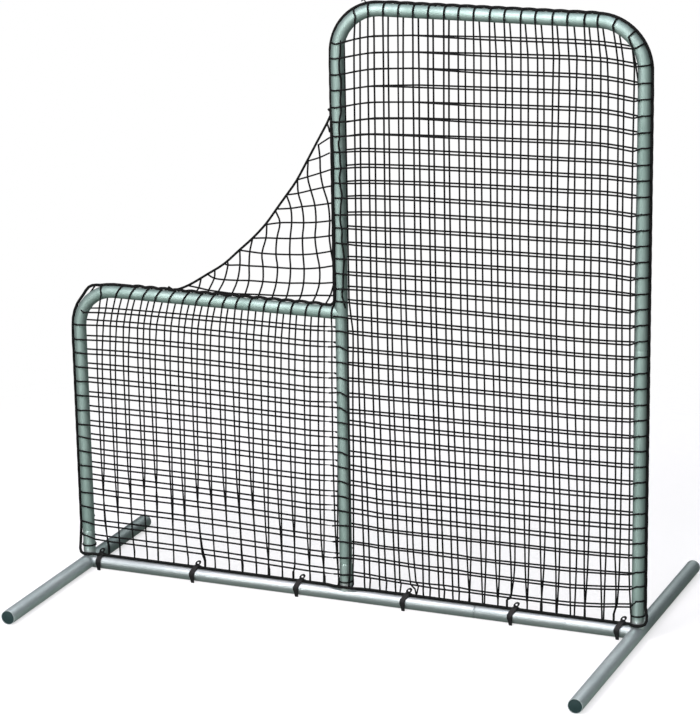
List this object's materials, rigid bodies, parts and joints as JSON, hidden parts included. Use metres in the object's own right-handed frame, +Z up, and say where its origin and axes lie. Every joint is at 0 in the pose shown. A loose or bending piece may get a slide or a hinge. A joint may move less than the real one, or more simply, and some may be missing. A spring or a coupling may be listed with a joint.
{
  "type": "baseball l screen",
  "caption": "Free-standing L-shaped tube frame on two cross feet, with a double net on a seam rope, a netted inside corner, clips on the base rail and sprung locking buttons.",
  "frame": {"origin": "on the ground, half way between the two outer uprights, in the plane of the frame", "axes": "+X along the screen towards its tall side, +Y from the front to the back, +Z up"},
  "size_m": [2.1589, 1.36, 2.1429],
  "materials": {
    "frame_steel": "satin grey-green zinc on bent steel tube",
    "base_steel": "satin zinc on steel tube",
    "neck_steel": "bright steel tube",
    "spring_steel": "bright spring steel",
    "plug_plastic": "dark moulded plug",
    "clip_plastic": "black moulded clip",
    "twine_black": "black knotted twine",
    "rope_black": "black twisted rope and cord"
  },
  "bodies": {
    "frame": {"tall_hoop": "frame_steel", "short_hoop": "frame_steel", "right_upright": "frame_steel", "centre_post": "frame_steel", "right_foot": "base_steel", "left_foot": "base_steel", "right_foot_plug_front": "plug_plastic", "right_foot_plug_back": "plug_plastic", "left_foot_plug_front": "plug_plastic", "left_foot_plug_back": "plug_plastic", "right_neck": "neck_steel", "left_neck": "neck_steel", "centre_neck": "neck_steel", "base_rail_left": "base_steel", "base_rail_link": "base_steel", "base_rail_right": "base_steel", "right_leg_button_spring": "spring_steel", "left_leg_button_spring": "spring_steel", "post_foot_button_spring": "spring_steel", "post_head_button_spring": "spring_steel", "right_head_button_spring": "spring_steel", "rail_button_left_spring": "spring_steel", "rail_button_right_spring": "spring_steel", "net_front_tall": "twine_black", "net_back_tall": "twine_black", "net_front_short": "twine_black", "net_back_short": "twine_black", "net_notch": "twine_black", "edge_rope": "rope_black", "notch_rope": "rope_black", "leg_lacing": "rope_black", "right_lashing": "rope_black", "left_lashing": "rope_black", "centre_lashing": "rope_black"},
    "clip_1": {"net_clip_1": "clip_plastic"},
    "clip_2": {"net_clip_2": "clip_plastic"},
    "clip_3": {"net_clip_3": "clip_plastic"},
    "clip_4": {"net_clip_4": "clip_plastic"},
    "clip_5": {"net_clip_5": "clip_plastic"},
    "clip_6": {"net_clip_6": "clip_plastic"},
    "right_leg_catch": {"right_leg_button": "spring_steel"},
    "left_leg_catch": {"left_leg_button": "spring_steel"},
    "post_foot_catch": {"post_foot_button": "spring_steel"},
    "post_head_catch": {"post_head_button": "spring_steel"},
    "right_head_catch": {"right_head_button": "spring_steel"},
    "rail_catch_left": {"rail_button_left": "spring_steel"},
    "rail_catch_right": {"rail_button_right": "spring_steel"}
  },
  "joints": [
    {"name": "clip_1_slide", "type": "slide", "parent": "frame", "child": "clip_1", "axis": [1, 0, 0], "range_m": [-0.008, 0.012]},
    {"name": "clip_2_slide", "type": "slide", "parent": "frame", "child": "clip_2", "axis": [1, 0, 0], "range_m": [-0.012, 0.012]},
    {"name": "clip_3_slide", "type": "slide", "parent": "frame", "child": "clip_3", "axis": [1, 0, 0], "range_m": [-0.012, 0.012]},
    {"name": "clip_4_slide", "type": "slide", "parent": "frame", "child": "clip_4", "axis": [1, 0, 0], "range_m": [-0.012, 0.012]},
    {"name": "clip_5_slide", "type": "slide", "parent": "frame", "child": "clip_5", "axis": [1, 0, 0], "range_m": [-0.012, 0.012]},
    {"name": "clip_6_slide", "type": "slide", "parent": "frame", "child": "clip_6", "axis": [1, 0, 0], "range_m": [-0.012, 0.012]},
    {"name": "right_leg_button_press", "type": "hinge", "parent": "frame", "child": "right_leg_catch", "pos_m": [1.05696, 0.01221, 0.149], "axis": [0.7071, -0.7071, 0], "range_deg": [0, 7], "stiffness_Nm_per_rad": 4},
    {"name": "left_leg_button_press", "type": "hinge", "parent": "frame", "child": "left_leg_catch", "pos_m": [-1.03254, 0.01221, 0.149], "axis": [0.7071, -0.7071, 0], "range_deg": [0, 7], "stiffness_Nm_per_rad": 4},
    {"name": "post_foot_button_press", "type": "hinge", "parent": "frame", "child": "post_foot_catch", "pos_m": [-0.01554, 0.01221, 0.149], "axis": [0.7071, -0.7071, 0], "range_deg": [0, 7], "stiffness_Nm_per_rad": 4},
    {"name": "post_head_button_press", "type": "hinge", "parent": "frame", "child": "post_head_catch", "pos_m": [-0.01554, 0.01221, 0.94175], "axis": [0.7071, -0.7071, 0], "range_deg": [0, 7], "stiffness_Nm_per_rad": 4},
    {"name": "right_head_button_press", "type": "hinge", "parent": "frame", "child": "right_head_catch", "pos_m": [1.05696, 0.01221, 1.031], "axis": [0.7071, -0.7071, 0], "range_deg": [0, 7], "stiffness_Nm_per_rad": 4},
    {"name": "rail_button_left_press", "type": "hinge", "parent": "frame", "child": "rail_catch_left", "pos_m": [0.47309, 0.02052, 0.0254], "axis": [0, 0, 1], "range_deg": [0, 7], "stiffness_Nm_per_rad": 4},
    {"name": "rail_button_right_press", "type": "hinge", "parent": "frame", "child": "rail_catch_right", "pos_m": [0.77986, 0.02052, 0.0254], "axis": [0, 0, -1], "range_deg": [0, 7], "stiffness_Nm_per_rad": 4}
  ]
}
